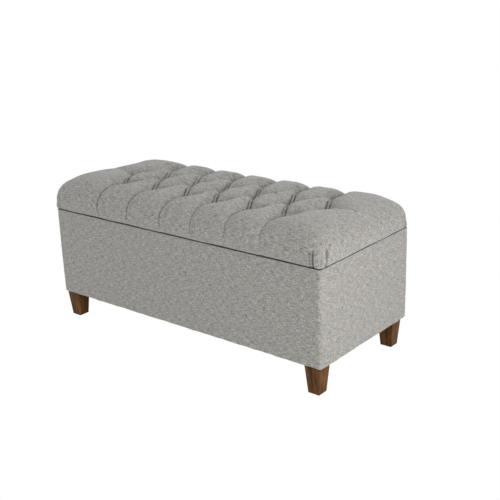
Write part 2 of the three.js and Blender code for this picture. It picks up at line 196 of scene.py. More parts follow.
def wood_material(name, dark, light, along, roughness):
    """Wood whose grain runs along one axis: long fibres, broader growth bands and small pores."""
    n = Nodes(name)
    place = n.add("TexCoord").outputs["Object"]
    stretch = [1.0, 1.0, 1.0]
    stretch[along] = 0.07
    fibres = n.noise(n.scaled(place, stretch), scale=420.0, detail=4.0, roughness=0.6)
    bands = n.noise(n.scaled(place, stretch), scale=75.0, detail=2.0)
    pores = n.noise(n.scaled(place, stretch), scale=1500.0, detail=1.0)
    tone = n.math("ADD", n.math("MULTIPLY", bands, 1.1), n.math("MULTIPLY", fibres, 0.7))
    tone = n.ramp(tone, 0.70, 1.13)
    colour = n.blend(tone, dark, light)
    normal = n.bump(n.math("ADD", pores, fibres), 0.15 * MM, 0.4)
    rough = n.math("ADD", n.math("MULTIPLY", fibres, 0.2), roughness - 0.1)
    return n.finish(Base_Color=colour, Roughness=rough, Normal=normal, Specular_IOR_Level=0.12)


def felt_material():
    n = Nodes("dark_non_woven")
    place = n.add("TexCoord").outputs["Object"]
    fibres = n.noise(place, scale=900.0, detail=3.0, roughness=0.7)
    dimples = n.noise(place, scale=260.0, detail=0.0)
    colour = n.blend(n.ramp(fibres, 0.3, 0.7), grey(0.012), grey(0.034))
    normal = n.bump(n.math("ADD", fibres, dimples), 0.4 * MM, 0.5)
    rough = n.ramp(fibres, 3.0, -3.6)
    return n.finish(Base_Color=colour, Roughness=rough, Normal=normal, Sheen_Weight=0.3)


def zinc_material():
    n = Nodes("bright_zinc")
    place = n.add("TexCoord").outputs["Object"]
    spangle = n.noise(place, scale=260.0, detail=2.0)
    rolled = n.noise(n.scaled(place, (1, 0.05, 1)), scale=900.0, detail=2.0)
    colour = n.blend(spangle, grey(0.42), grey(0.62, 0.01))
    rough = n.math("ADD", n.math("MULTIPLY", rolled, 0.3), 0.2)
    normal = n.bump(rolled, 0.05 * MM, 0.3)
    return n.finish(Base_Color=colour, Roughness=rough, Normal=normal, Metallic=1.0)


def rubber_material():
    n = Nodes("soft_rubber")
    place = n.add("TexCoord").outputs["Object"]
    grain = n.noise(place, scale=1400.0, detail=2.0)
    colour = n.blend(grain, grey(0.012), grey(0.028))
    rough = n.math("ADD", n.math("MULTIPLY", grain, 0.2), 0.6)
    return n.finish(Base_Color=colour, Roughness=rough, Normal=n.bump(grain, 0.1 * MM, 0.4))


WOVEN = woven_material()
FINISHES = {
    "walnut": wood_material(
        "walnut_stain", (0.025, 0.009, 0.002, 1), (0.140, 0.060, 0.017, 1), 2, 0.65
    ),
    "ply": wood_material("plywood", (0.42, 0.27, 0.14, 1), (0.66, 0.48, 0.29, 1), 0, 0.7),
    "non_woven": felt_material(),
    "zinc": zinc_material(),
    "rubber": rubber_material(),
}


def finish_cad_nodes():
    """Gives each carried-over CAD node its finish, and its edges a fine round."""
    rounding = {"walnut": 1.6 * MM, "ply": 0.8 * MM, "zinc": 0.25 * MM}
    for part in frame["record"]["subparts"]:
        piece, slot = frame["nodes"][part["node"]], part["material_slot"]
        if slot not in FINISHES:
            continue
        piece.data.materials.clear()
        piece.data.materials.append(FINISHES[slot])
        if slot in rounding:
            bevel = piece.modifiers.new("edges", "BEVEL")
            bevel.width, bevel.segments, bevel.limit_method = rounding[slot], 2, "ANGLE"
            bevel.angle_limit = math.radians(40)
            bevel.harden_normals = False


finish_cad_nodes()


# ---- mesh building ----


def smoothstep(x):
    x = np.clip(x, 0, 1)
    return x * x * (3 - 2 * x)


def make_piece(name, points, faces, cloth, body="base"):
    """A smooth-shaded mesh of fabric. cloth is each face corner's place on the flat cloth, in metres."""
    mesh = bpy.data.meshes.new(name)
    mesh.from_pydata(points.tolist(), [], faces)
    layer = mesh.uv_layers.new(name="cloth")
    layer.data.foreach_set("uv", np.asarray(cloth, np.float32).ravel())
    mesh.materials.append(WOVEN)
    mesh.shade_smooth()
    mesh.update()
    piece = bpy.data.objects.new(name, mesh)
    bpy.context.scene.collection.objects.link(piece)
    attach(piece, body)
    return piece


def store_painted_shade(piece, values):
    """Stores each point's painted shade, down folds, in tuft pits and on turned-in cloth, which its
    material reads.
    """
    shade = piece.data.attributes.new("fold", "FLOAT", "POINT")
    shade.data.foreach_set("value", values)


def ripple(x, y, rng, waves, shortest, longest):
    """A sum of random plane waves, about 1 high, over coordinates in metres."""
    total = np.zeros_like(x)
    for _ in range(waves):
        turn, phase = rng.uniform(0, math.tau, 2)
        length = rng.uniform(shortest, longest)
        total += np.sin(math.tau * (x * math.cos(turn) + y * math.sin(turn)) / length + phase)
    return total / math.sqrt(waves)


# ---- lid cushion ----

lid_low, lid_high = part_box("lid_cover")
_, board_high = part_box("lid_board")
LID_BOTTOM = lid_low.z
PUFF = 3 * MM  # how far the cloth bulges past the plain lid at its ends
HALF_X = lid_high.x + PUFF
HALF_Y = lid_high.y - 2.5 * MM
FORWARD = 4 * MM  # the padding sits a little towards the front
ROLL_IN, ROLL_UP = 86 * MM, 70.5 * MM  # quarter ellipse that the top edge rolls over
ROLL_Z = 410 * MM  # where the roll meets the side, and the side bulges most
ROLL_POINTS = 60  # in the roll's section
DRAWN_IN = 5 * MM  # how far the side is drawn in at its foot
BACK_COVER = 7 * MM  # how much less the back is drawn in
EDGE_ROUND = 2.2 * MM  # the round under the side's foot
HANG = 0.8 * MM  # how far the side's foot hangs below the rest of the cover's underside
CROWN = 3 * MM  # how much higher the middle of the top is than its edge
CORNER = 44 * MM  # plan radius where the side bulges most
CORNER_LOW = 13 * MM  # and at the side's foot
CORNER_MORE = 6 * MM  # added to that at the front left and the back right
FLAT_X, FLAT_Y = HALF_X - ROLL_IN, HALF_Y - ROLL_IN
TUFT_PITCH = 130 * MM  # from tuft to tuft along a row
TUFT_SHIFT = 8 * MM  # the pattern sits a little to the right of the middle
ROW_Y = 124 * MM  # from the middle row of tufts to the others
FRONT_DRIFTS = (6, 0, 6, 13, 9, 7)  # how far each pleat's foot is from under its tuft, in mm
BACK_DRIFTS = (7, -1, 3, 7, -2, 5)
PIT_DEPTH, PIT_WIDTH = 29 * MM, 40 * MM  # of the hollow at each tuft
GROOVE = 2.6 * MM  # half the width of a fold's groove
RIDGE = 5.5 * MM  # half the width of the raised strip between a doubled fold's grooves
RIDGE_RISE = 4.5 * MM  # how high that strip stands
DARK_GROOVE = 5.5 * MM  # grooves from this depth on get the full painted fold shade
DIAGONAL_WIDTH, PLEAT_WIDTH = 50 * MM, 46 * MM  # half the width of the valley round a fold
CORNER_FOLD = 4.5 * MM  # half the width of the folds round the corners
LID_HEM = 42 * MM  # how wide the cloth is that is folded under the lid
BACK_UPRIGHT = 495 * MM  # how far from the middle the back's foot stays upright
STEP = 3.3 * MM  # spacing of the cloth's grid
CROWDING = 1.12  # how many more lines the grid has than evenly spaced ones would need
SNAP = 0.44  # share of the grid's local spacing from which points move into a fold
# Where the padding is fuller or thinner: the side of the bench (1 right, -1 left, 0 both), the place
# along and across the cloth from its middle, how far it lifts and how wide it is, all in mm.
STUFFING = (
    (0, 475, -140, 5, 70),
    (-1, 490, 110, -9, 120),
    (1, 430, 150, 2.5, 60),
    (1, 530, 200, -6, 50),
)
CLOTH_PRESSURE = 4.0  # of the stuffing on the cloth
CLOTH_SURPLUS = 0.015  # how much bigger the cloth is cut than its rest shape
CLOTH_STEPS = 14  # frames that are simulated
CLOTH_LEAST = 0.1 * MM  # if no point moves this far, the simulation didn't run and the script stops
HELD_LEVELS = 8  # how finely the cloth's hold is graded
CLOTH_CAP = 6 * MM  # the furthest that the simulation may move a point


def lid_profile():
    """Section of the lid from the top's edge to its underside: distance along, inset, height, normal."""
    a = np.linspace(0, math.pi / 2, ROLL_POINTS)
    roll = np.c_[ROLL_IN * (1 - np.sin(a)), ROLL_Z + ROLL_UP * np.cos(a)]
    drop = np.linspace(0, 1, 24)[1:]
    low = LID_BOTTOM - HANG + EDGE_ROUND
    side = np.c_[DRAWN_IN * drop**2, ROLL_Z + (low - ROLL_Z) * drop]
    b = np.linspace(0, math.pi / 2, 10)[1:]
    turn = side[-1] + EDGE_ROUND * np.c_[1 - np.cos(b), -np.sin(b)]
    section = np.vstack([roll, side, turn])
    along = np.r_[0, np.cumsum(np.hypot(*np.diff(section, axis=0).T))]
    tangent = np.gradient(section, axis=0)
    tangent /= np.linalg.norm(tangent, axis=1)[:, None]
    return along, section[:, 0], section[:, 1], -tangent[:, 1], -tangent[:, 0]


ALONG, INSET, HEIGHT, OUT, UP = lid_profile()
REACH = ALONG[-1]
SIDE_FROM = ALONG[ROLL_POINTS - 1]  # where the upright side begins


def grid_lines(flat, crowded):
    """Places of the grid's lines along one direction of the cloth, closer together near some places."""
    edge = flat + REACH
    fine = np.linspace(-edge, edge, 6001)
    density = np.ones_like(fine)
    for at in crowded:
        density += 1.3 * np.exp(-(((fine - at) / (9 * MM)) ** 2))
    total = np.r_[0, np.cumsum((density[1:] + density[:-1]) / 2 * np.diff(fine))]
    count = int(round(2 * edge * CROWDING / STEP))
    lines = np.interp(np.linspace(0, total[-1], count), total, fine)
    # The flat part's own edges are lines too.
    for at in (-flat, flat):
        lines[np.argmin(abs(lines - at))] = at
    return lines


def on_lid(u, v):
    """Cloth coordinates to (place, outward normal, distance down the side, distance along it)."""
    du, dv = np.maximum(abs(u) - FLAT_X, 0), np.maximum(abs(v) - FLAT_Y, 0)
    d = np.maximum(du, dv)
    inset, z = np.interp(d, ALONG, INSET), np.interp(d, ALONG, HEIGHT)
    inset = np.where(d > 0, inset, ROLL_IN)
    out, up = np.interp(d, ALONG, OUT), np.interp(d, ALONG, UP)
    low = smoothstep((d - SIDE_FROM) / (REACH - SIDE_FROM))
    corner_low = np.where(u * v < 0, CORNER_LOW, CORNER_LOW + CORNER_MORE)
    radius = np.maximum(CORNER * smoothstep(d / SIDE_FROM) + (corner_low - CORNER) * low, 1e-6)

    def strip(w, flat, half, other_half):
        """Along a side: w in the cloth to (along, across, their normals, length along)."""
        keep = flat - 45 * MM
        reach = half - inset - radius * (1 - math.pi / 4)
        s = np.where(
            abs(w) < keep, abs(w), keep + (abs(w) - keep) * (reach - keep) / (flat + d - keep)
        )
        straight = half - inset - radius
        turn = np.clip((s - straight) / radius, 0, math.pi / 2)
        along = np.minimum(s, straight) + radius * np.sin(turn)
        across = other_half - inset - radius * (1 - np.cos(turn))
        return along, across, np.sin(turn), np.cos(turn), s

    ax, ay, anx, any_, a_s = strip(u, FLAT_X, HALF_X, HALF_Y)
    by, bx, bny, bnx, b_s = strip(v, FLAT_Y, HALF_Y, HALF_X)
    long_side = dv >= du
    flat = d <= 0
    sx, sy = np.sign(u) + (u == 0), np.sign(v) + (v == 0)
    x = np.where(flat, abs(u), np.where(long_side, ax, bx)) * sx
    y = np.where(flat, abs(v), np.where(long_side, ay, by)) * sy
    nx = np.where(long_side, anx, bnx) * sx * out
    ny = np.where(long_side, any_, bny) * sy * out
    inner = np.minimum(FLAT_X - abs(x), FLAT_Y - abs(y))
    z = z + CROWN * smoothstep(inner / (150 * MM))
    place = np.stack([x, y, z], -1)
    normal = np.stack([nx, ny, up + 0 * nx], -1)
    return place, normal, d, np.where(long_side, a_s, b_s), long_side


def tufts(rng):
    """The places of the tufts in three staggered rows, each a little off, as by hand."""
    rows = []
    for y, count in ((-ROW_Y, 6), (0, 7), (ROW_Y, 6)):
        x = (np.arange(count) - (count - 1) / 2) * TUFT_PITCH + TUFT_SHIFT * (2 if y > 0 else 1)
        spot = np.c_[x, np.full(count, y)] + rng.uniform(-2, 2, (count, 2)) * MM
        rows.append(spot)
    # Two of the front tufts are further off than the rest.
    rows[0][0, 0] -= 7 * MM
    rows[0][2, 0] += 8 * MM
    return rows


def along_line(u, v, a, b):
    """Each point's share of the way from a to b, signed distance aside, and distance past the ends."""
    (ax, ay), (bx, by) = a, b
    length = math.hypot(bx - ax, by - ay)
    cx, cy = (bx - ax) / length, (by - ay) / length
    t = ((u - ax) * cx + (v - ay) * cy) / length
    aside = (u - ax) * cy - (v - ay) * cx
    past = np.maximum(np.maximum(-t, t - 1), 0) * length
    return np.clip(t, 0, 1), aside, past


def swell(q):
    """A pillow's section: from 0 in the crease, where it is steep, to 1 a width away."""
    return (1 - (1 - np.clip(q, 0, 1)) ** 2.3) ** 0.72


def nip(distance, reach):
    """1 at a crease's bottom, falling to 0 at reach."""
    return np.clip(1 - distance / reach, 0, 1) ** 1.5


class Crease:
    """A pleat between two points of the cloth: a fold, or near its tufts two with a ridge between."""

    def __init__(self, a, b, width, depth, ridge, groove, bow=0.0, soft=0.0, lean=0.0):
        self.a, self.b, self.width, self.bow, self.soft = a, b, width, bow, soft
        self.lean = lean  # -1 to 1: how much stronger the fold on one side of the ridge is
        self.depth, self.ridge, self.groove = depth, ridge, groove

    def place(self, u, v):
        """Share of the way along, signed distance aside of the crease's line, distance past its ends."""
        t, aside, past = along_line(u, v, self.a, self.b)
        return t, aside + self.bow * np.sin(math.pi * t), past

    def drawn(self, u, v):
        """The broad depth, the narrow groove's depth and the painted shade near the groove, from 0 to 1.
        """
        t, aside, past = self.place(u, v)
        ridge = self.ridge(t)
        away = np.hypot(np.maximum(abs(aside) - ridge, 0), past)
        away = np.hypot(away, self.soft) - self.soft
        broad = self.depth(t) * (1 - swell(away / self.width))
        doubled = np.clip(ridge / RIDGE, 0, 1)
        broad -= RIDGE_RISE * np.clip(1 - (aside / np.maximum(ridge, 1e-6)) ** 2, 0, 1) * doubled
        near = nip(np.hypot(abs(aside) - ridge, past), GROOVE)
        near *= 1 - np.maximum(-self.lean * np.sign(aside), 0) * doubled
        return broad, self.groove(t) * near, near * np.clip(self.groove(t) / DARK_GROOVE, 0, 1)

    def snapped(self, u, v, reach):
        """Moves grid points that almost lie in the groove into it."""
        t, aside, past = self.place(u, v)
        off = abs(aside) - self.ridge(t)
        close = (abs(off) < reach) & (past <= 0) & (self.groove(t) > 1 * MM)
        shift = np.where(close, off * np.sign(aside), 0)
        length = math.dist(self.a, self.b)
        cx, cy = (self.b[0] - self.a[0]) / length, (self.b[1] - self.a[1]) / length
        return u - shift * cy, v + shift * cx, close


def lid_creases(rng):
    front, middle, back = tufts(rng)
    creases = []
    # From each tuft to its neighbours in the next row.
    for row in (front, back):
        for a in row:
            for b in middle:
                if abs(b[0] - a[0]) > 0.7 * TUFT_PITCH:
                    continue
                scale, broad = rng.uniform(0.93, 1.07), rng.uniform(0.8, 1.15) * RIDGE
                # Folds that lean one way are pressed sharp, and those that lean the other way stay soft.
                crisp = (b[0] - a[0]) * (b[1] - a[1]) < 0
                middle_depth, sharp, soft = (9.0, 1.0, 0) if crisp else (8.5, 0.3, 7 * MM)

                def grip(t, flip=b[1] < a[1]):
                    """How tightly it is pressed: far along from the front end, briefly at the back."""
                    t = 1 - t if flip else t
                    front_end = 1 - smoothstep((t - 0.47) / 0.22)
                    return np.maximum(front_end, 0.3 * smoothstep((t - 0.84) / 0.13))

                creases.append(Crease(
                    a, b, DIAGONAL_WIDTH,
                    lambda t, k=scale, m=middle_depth: (
                        k * (m + (26 - m) * abs(np.cos(math.pi * t)) ** 1.3) * MM
                    ),
                    lambda t, w=broad, g=grip: w * g(t),
                    lambda t, k=sharp, g=grip: k * (0.6 + 5.4 * g(t)) * MM,
                    rng.uniform(-2.5, 2.5) * MM, soft, 0.8 * (scale - 1) / 0.07,
                ))
    # From the outer rows over the edge and down the front and the back.
    for row, side, drifts in ((front, -1, FRONT_DRIFTS), (back, 1, BACK_DRIFTS)):
        for number, ((x, y), drift) in enumerate(zip(row, drifts)):
            a, b = (x, y), (x + drift * MM, side * (FLAT_Y + REACH))
            length = math.dist(a, b)
            firm = 1 - 0.18 * number  # the pleats get softer towards the right
            base = 3.6 + 2.4 * firm if side < 0 else 12.0  # the valley's depth far from its tuft, in mm

            def fade(t, tail, length=length):
                """1, falling towards the foot over that length."""
                return 1 - 0.9 * smoothstep((t * length - length + tail) / tail)

            def run(t, length=length):
                return t * length

            creases.append(Crease(
                a, b, PLEAT_WIDTH,
                lambda t, f=fade, r=run, k=base: (
                    (k + 20 * np.exp(-((r(t) / (62 * MM)) ** 1.6))) * MM * f(t, 80 * MM)
                ),
                lambda t, r=run: 4 * MM * smoothstep(1 - r(t) / (50 * MM)),
                lambda t, f=fade, r=run, k=firm: (
                    4.2 * k * MM * f(t, 30 * MM) * (0.3 + 0.7 * smoothstep((r(t) - 60 * MM) / (50 * MM)))
                ),
                -8 * MM if side < 0 else 0.0, 5 * MM * (1 - firm),
            ))
    # A soft pleat from each end tuft towards its end.
    for (x, y), side in ((middle[0], -1), (middle[-1], 1)):
        a, b = (x, y), (side * (FLAT_X + 0.5 * REACH), y - 6 * MM)
        length = math.dist(a, b)
        creases.append(Crease(
            a, b, DIAGONAL_WIDTH,
            lambda t, n=length: (4.0 + 18 * np.exp(-((t * n / (40 * MM)) ** 1.4))) * MM * (1 - t),
            lambda t, n=length: 4 * MM * smoothstep(1 - t * n / (40 * MM)),
            lambda t, n=length: 3.0 * MM * (1 - smoothstep(t * n / (120 * MM))),
            side * 9 * MM,
        ))
    return creases, np.vstack([front, middle, back])


def tufting(u, v, d, s, long_side, creases, spots, rng):
    """How deep the cloth is drawn in at each point, in metres, and how much painted shade it gets in folds
    and tuft pits.
    """
    power = 5
    total, groove, fold = (np.zeros_like(u) for _ in range(3))
    for crease in creases:
        broad, narrow, near = crease.drawn(u, v)
        total += np.maximum(broad, 0) ** power
        groove = np.maximum(groove, narrow)
        fold = np.maximum(fold, near)
    gathers = np.zeros_like(u)
    for x, y in spots:
        r = np.hypot(u - x, v - y)
        total += (PIT_DEPTH * (1 - swell(r / PIT_WIDTH))) ** power
        # Painted shade in the tuft's pit.
        fold = np.maximum(fold, 0.6 * nip(r, 7 * MM))
        turn = np.arctan2(v - y, u - x)
        wave = np.sin(9 * turn + rng.uniform(0, math.tau))
        wave += 0.6 * np.sin(14 * turn + rng.uniform(0, math.tau))
        gathers += 1.0 * MM * wave * np.exp(-(((r - 24 * MM) / (11 * MM)) ** 2))
    total = total ** (1 / power)
    # Loose upright gathers low on the sides.
    low = smoothstep((d - SIDE_FROM + 30 * MM) / (35 * MM))
    low = low * (1 - smoothstep((d - REACH + 12 * MM) / (8 * MM)))
    gathers += 0.35 * MM * low * ripple(s, 0.12 * d, rng, 14, 11 * MM, 34 * MM)
    # Folds that wrap the cloth round each corner.
    tall = smoothstep((d - SIDE_FROM + 26 * MM) / (16 * MM)) * np.where(u < 0, 0.35, 1)
    for at, on_side in ((HALF_X - 31 * MM, long_side), (HALF_Y - 30 * MM, ~long_side)):
        lines = [(at, 5 * MM)] + ([(at - 9 * MM, 2.6 * MM)] if at > HALF_Y else [])
        for place, depth in lines:
            near = np.where(on_side, nip(abs(s - place), CORNER_FOLD) * tall, 0)
            gathers += depth * near
            # Painted shade down the corner folds.
            fold = np.maximum(fold, near * depth / (4 * MM))
    return total + groove + gathers, fold


def thinned(count):
    """Every second index, the last one included."""
    return np.unique(np.r_[np.arange(0, count, 2), count - 1])


def widened(values, kept, count):
    """Values at the kept rows, interpolated to all the rows."""
    every = np.arange(count)
    upper = np.clip(np.searchsorted(kept, every), 1, len(kept) - 1)
    share = (every - kept[upper - 1]) / (kept[upper] - kept[upper - 1])
    share = share.reshape(-1, *[1] * (values.ndim - 1))
    return values[upper - 1] * (1 - share) + values[upper] * share


def grid_quads(rows, columns):
    """The faces between a grid's points, as the points' numbers."""
    index = np.arange(rows * columns).reshape(rows, columns)
    return np.stack([index[:-1, :-1], index[:-1, 1:], index[1:, 1:], index[1:, :-1]], -1).reshape(-1, 4)


def settled(place, held):
    """Each point's move when the cover settles as cloth: stuffing presses it out, folds hold it down."""
    rows, columns = thinned(place.shape[0]), thinned(place.shape[1])
    points = place[np.ix_(rows, columns)]
    quads = grid_quads(*points.shape[:2])
    mesh = bpy.data.meshes.new("cloth_cover")
    mesh.from_pydata(points.reshape(-1, 3).tolist(), [], quads.tolist())
    cover = bpy.data.objects.new("cloth_cover", mesh)
    scene = bpy.context.scene
    scene.collection.objects.link(cover)
    group = cover.vertex_groups.new(name="held")
    levels = np.round(held[np.ix_(rows, columns)].ravel() * HELD_LEVELS).astype(int)
    for level in range(1, HELD_LEVELS + 1):
        group.add(np.flatnonzero(levels == level).tolist(), level / HELD_LEVELS, "REPLACE")
    modifier = cover.modifiers.new("cloth", "CLOTH")
    cloth = modifier.settings
    cloth.quality, cloth.mass = 5, 0.3
    cloth.tension_stiffness = cloth.compression_stiffness = 15
    cloth.shear_stiffness, cloth.bending_stiffness = 5, 0.5
    cloth.vertex_group_mass, cloth.pin_stiffness = "held", 1
    cloth.shrink_min = -CLOTH_SURPLUS
    cloth.use_pressure, cloth.uniform_pressure_force = True, CLOTH_PRESSURE
    cloth.effector_weights.gravity = 0
    modifier.collision_settings.use_collision = False
    for step in range(1, CLOTH_STEPS + 1):
        scene.frame_set(step)
    result = cover.evaluated_get(bpy.context.evaluated_depsgraph_get()).to_mesh()
    moved = np.empty(len(result.vertices) * 3)
    result.vertices.foreach_get("co", moved)
    bpy.data.objects.remove(cover)
    scene.frame_set(1)
    move = moved.reshape(points.shape) - points
    length = np.linalg.norm(move, axis=-1, keepdims=True)
    if not length.max() > CLOTH_LEAST:
        raise RuntimeError("the cloth simulation moved nothing")
    move *= np.minimum(1, CLOTH_CAP / np.maximum(length, 1e-9))
    move = widened(move, rows, place.shape[0])
    return widened(move.swapaxes(0, 1), columns, place.shape[1]).swapaxes(0, 1)


def ring_indices(rows, columns):
    """The grid's outer points, anticlockwise from above, from its lowest corner."""
    index = np.arange(rows * columns).reshape(rows, columns)
    return np.r_[index[0, :-1], index[:-1, -1], index[-1, :0:-1], index[:0:-1, 0]]


def make_lid_cushion():
    rng = np.random.default_rng(SEED)
    crowded_x = [k * TUFT_PITCH for k in (-2.5, -1.5, -0.5, 0.5, 1.5, 2.5)]
    us = grid_lines(FLAT_X, crowded_x)  # closer together about where the outer rows' tufts are
    vs = grid_lines(FLAT_Y, (-ROW_Y, 0, ROW_Y))
    u, v = np.meshgrid(us, vs)
    creases, spots = lid_creases(rng)
    spacing = np.minimum(*np.meshgrid(np.gradient(us), np.gradient(vs)))
    free = np.ones_like(u, bool)
    free[[0, -1]] = free[:, [0, -1]] = False
    for crease in creases:
        new_u, new_v, close = crease.snapped(u, v, SNAP * spacing)
        close &= free
        u, v = np.where(close, new_u, u), np.where(close, new_v, v)
        free &= ~close
    place, normal, d, s, long_side = on_lid(u, v)
    depth, fold = tufting(u, v, d, s, long_side, creases, spots, rng)
    # The padding isn't quite even.
    depth += 0.45 * MM * ripple(u, v, rng, 10, 60 * MM, 220 * MM)
    for side_u, at_u, at_v, lift, spread in STUFFING:
        beside = abs(u) if side_u == 0 else u * side_u
        near = ((beside - at_u * MM) ** 2 + (v - at_v * MM) ** 2) / (spread * MM) ** 2
        depth -= lift * MM * np.exp(-near)
    # The middle of the back is a little lower, and so is the whole top.
    low_back = 2 * MM * smoothstep((v - 40 * MM) / (130 * MM))
    depth += low_back * smoothstep((400 * MM - abs(u)) / (70 * MM))
    depth += 2 * MM * (1 - smoothstep((d - 0.4 * SIDE_FROM) / (0.6 * SIDE_FROM)))
    # The corners are rounded where the two rolls meet.
    du, dv = abs(u) - FLAT_X, abs(v) - FLAT_Y
    mitre = np.exp(-(((du - dv) / (26 * MM)) ** 2))
    mitre = mitre * smoothstep((np.minimum(du, dv) + 20 * MM) / (50 * MM))
    depth += 4 * MM * mitre * (1 - smoothstep((d - 0.2 * SIDE_FROM) / (0.4 * SIDE_FROM)))
    # Painted shade on the lid's foot, where it meets the seam.
    fold = np.maximum(fold, TURNED_IN_PAINTED_SHADE * smoothstep((d - REACH + 3.0 * MM) / (2.2 * MM)))
    place = place - normal * depth[..., None]
    place[..., 1] -= FORWARD
    # At the back the side stays upright down to its foot, so that it covers the board's edge.
    start = 0.8 * SIDE_FROM
    foot = smoothstep((d - start) / (REACH - start))
    straight = 1 - smoothstep((abs(place[..., 0]) - BACK_UPRIGHT) / (25 * MM))
    place[..., 1] += BACK_COVER * foot * straight * smoothstep((v - FLAT_Y) / (20 * MM))
    held = np.maximum(smoothstep(fold / 0.5), smoothstep((d - SIDE_FROM) / (10 * MM)))
    place += settled(place, held)

    rows, columns = u.shape
    points = [place.reshape(-1, 3)]
    quads = grid_quads(rows, columns)

    # Where each face corner lies on the flat cloth. Each side of the lid is cut as its own strip.
    middle_u, middle_v = u.ravel()[quads].mean(1), v.ravel()[quads].mean(1)
    past_u = np.maximum(abs(middle_u) - FLAT_X, 0)
    past_v = np.maximum(abs(middle_v) - FLAT_Y, 0)
    flat_u, flat_v = u.ravel()[quads], v.ravel()[quads]
    run = s.ravel()[quads]
    on_long = (past_v >= past_u) & (past_v > 0)
    on_end = past_u > past_v
    flat_u = np.where(on_long[:, None], np.sign(flat_u) * run, flat_u)
    flat_v = np.where(on_end[:, None], np.sign(flat_v) * run, flat_v)
    cloth = np.stack([flat_u, flat_v], -1).reshape(-1, 2)

    # Under the edge: a hem, a recess round the board and the foam's flat underside.
    outer = ring_indices(rows, columns)
    edge = place.reshape(-1, 3)[outer]
    hem_top = LID_BOTTOM + CLOTH
    recess = lid_high.x - board_high.x - 0.4 * MM
    rounds = [
        (LID_HEM, LID_BOTTOM),
        (LID_HEM, hem_top),
        (recess, hem_top),
        (recess, board_high.z + 0.3 * MM),
    ]
    loops, extra = [outer], []
    count = rows * columns
    for inset, z in rounds:
        ring = edge.copy()
        for axis, half in ((0, lid_high.x), (1, lid_high.y)):
            limit = half - inset
            ring[:, axis] = edge[:, axis] * limit / abs(edge[:, axis]).max()
        ring[:, 2] = z
        points.append(ring)
        loops.append(np.arange(count, count + len(ring)))
        count += len(ring)
    for upper, lower in zip(loops, loops[1:]):
        a, b = upper, np.roll(upper, -1)
        c, e = np.roll(lower, -1), lower
        extra += np.stack([b, a, e, c], -1).tolist()
    faces = quads.tolist() + extra + [loops[-1][::-1].tolist()]
    points = np.vstack(points)
    under = np.array([i for face in faces[len(quads):] for i in face])
    cloth = np.vstack([cloth, points[under][:, :2]])
    piece = make_piece("lid_cushion", points, faces, cloth, body="lid")
    # The lid's underside and hem get the turned-in painted shade.
    store_painted_shade(piece, np.r_[fold.ravel(), np.full(len(points) - fold.size, TURNED_IN_PAINTED_SHADE)])
    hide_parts("lid_cover", "lid_foam")


make_lid_cushion()


# ---- upholstered box ----

cover_low, cover_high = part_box("base_cover")
BOX_X, BOX_Y = cover_high.x, cover_high.y
BOX_CORNER = 9 * MM  # plan radius
WALL = 2.7 * MM  # cloth and its backing over a panel
TUCK_IN = 16.5 * MM  # the cloth's inner face, down inside the rim
TUCK_DOWN = 25 * MM  # how far it reaches down inside
BOX_SWELL = 0.9 * MM  # how far the walls bulge between their edges
SAG_LENGTHS = (0.19, 0.083, 0.047)  # of the waves in the bottom edge
HEM = 24 * MM  # how wide the cloth is that is folded under the box
BOX_STEP = 6 * MM  # spacing of the grid along the walls
BOX_CLOTH_FROM = 3.0  # the box is cut from another stretch of the cloth than the lid


def box_ring(half_x, half_y, radius):
    """A rounded rectangle, anticlockwise from its right side: points and outward normals."""
    points, normals = [], []
    straight_x, straight_y = half_x - radius, half_y - radius
    counts = (round(2 * (BOX_Y - BOX_CORNER) / BOX_STEP), round(2 * (BOX_X - BOX_CORNER) / BOX_STEP))
    corner_steps = 8
    for side in range(4):
        turn = side * math.pi / 2
        c, s = math.cos(turn), math.sin(turn)
        reach = straight_y if side % 2 == 0 else straight_x
        out = half_x if side % 2 == 0 else half_y
        along = np.linspace(-reach, reach, counts[side % 2] + 1)[:-1]
        points.append(np.c_[c * out - s * along, s * out + c * along])
        normals.append(np.tile([c, s], (len(along), 1)))
        a = turn + np.linspace(0, math.pi / 2, corner_steps + 1)[:-1]
        corner = (out - radius) * np.array([c, s]) + reach * np.array([-s, c])
        points.append(corner + radius * np.c_[np.cos(a), np.sin(a)])
        normals.append(np.c_[np.cos(a), np.sin(a)])
    return np.vstack(points), np.vstack(normals)


def box_section():
    """The cover's section as (inset, height), up the outside and down inside the rim, then back."""
    low, top = cover_low.z, cover_high.z
    soft, rim = 4 * MM, 2.4 * MM
    a = np.linspace(0, math.pi / 2, 6)
    outside = [(HEM, low), (HEM * 0.6, low), (HEM * 0.35, low)]
    outside += [(soft - soft * math.sin(t), low + soft - soft * math.cos(t)) for t in a]
    outside += [(0.0, z) for z in np.linspace(low + soft, top - rim, 48)[1:-1]]
    outside += [(rim * (1 - math.cos(t)), top - rim * (1 - math.sin(t))) for t in a]
    outside += [(TUCK_IN * 0.6, top)]
    fold = 2 * MM
    outside += [(TUCK_IN - fold + fold * math.sin(t), top - fold + fold * math.cos(t)) for t in a]
    outside += [(TUCK_IN, top - TUCK_DOWN)]
    inner_face = TUCK_IN - CLOTH
    inside = [(inner_face, top - TUCK_DOWN), (inner_face, top - CLOTH), (WALL, top - CLOTH)]
    inside += [(WALL, low + CLOTH), (HEM, low + CLOTH)]
    return outside, inside


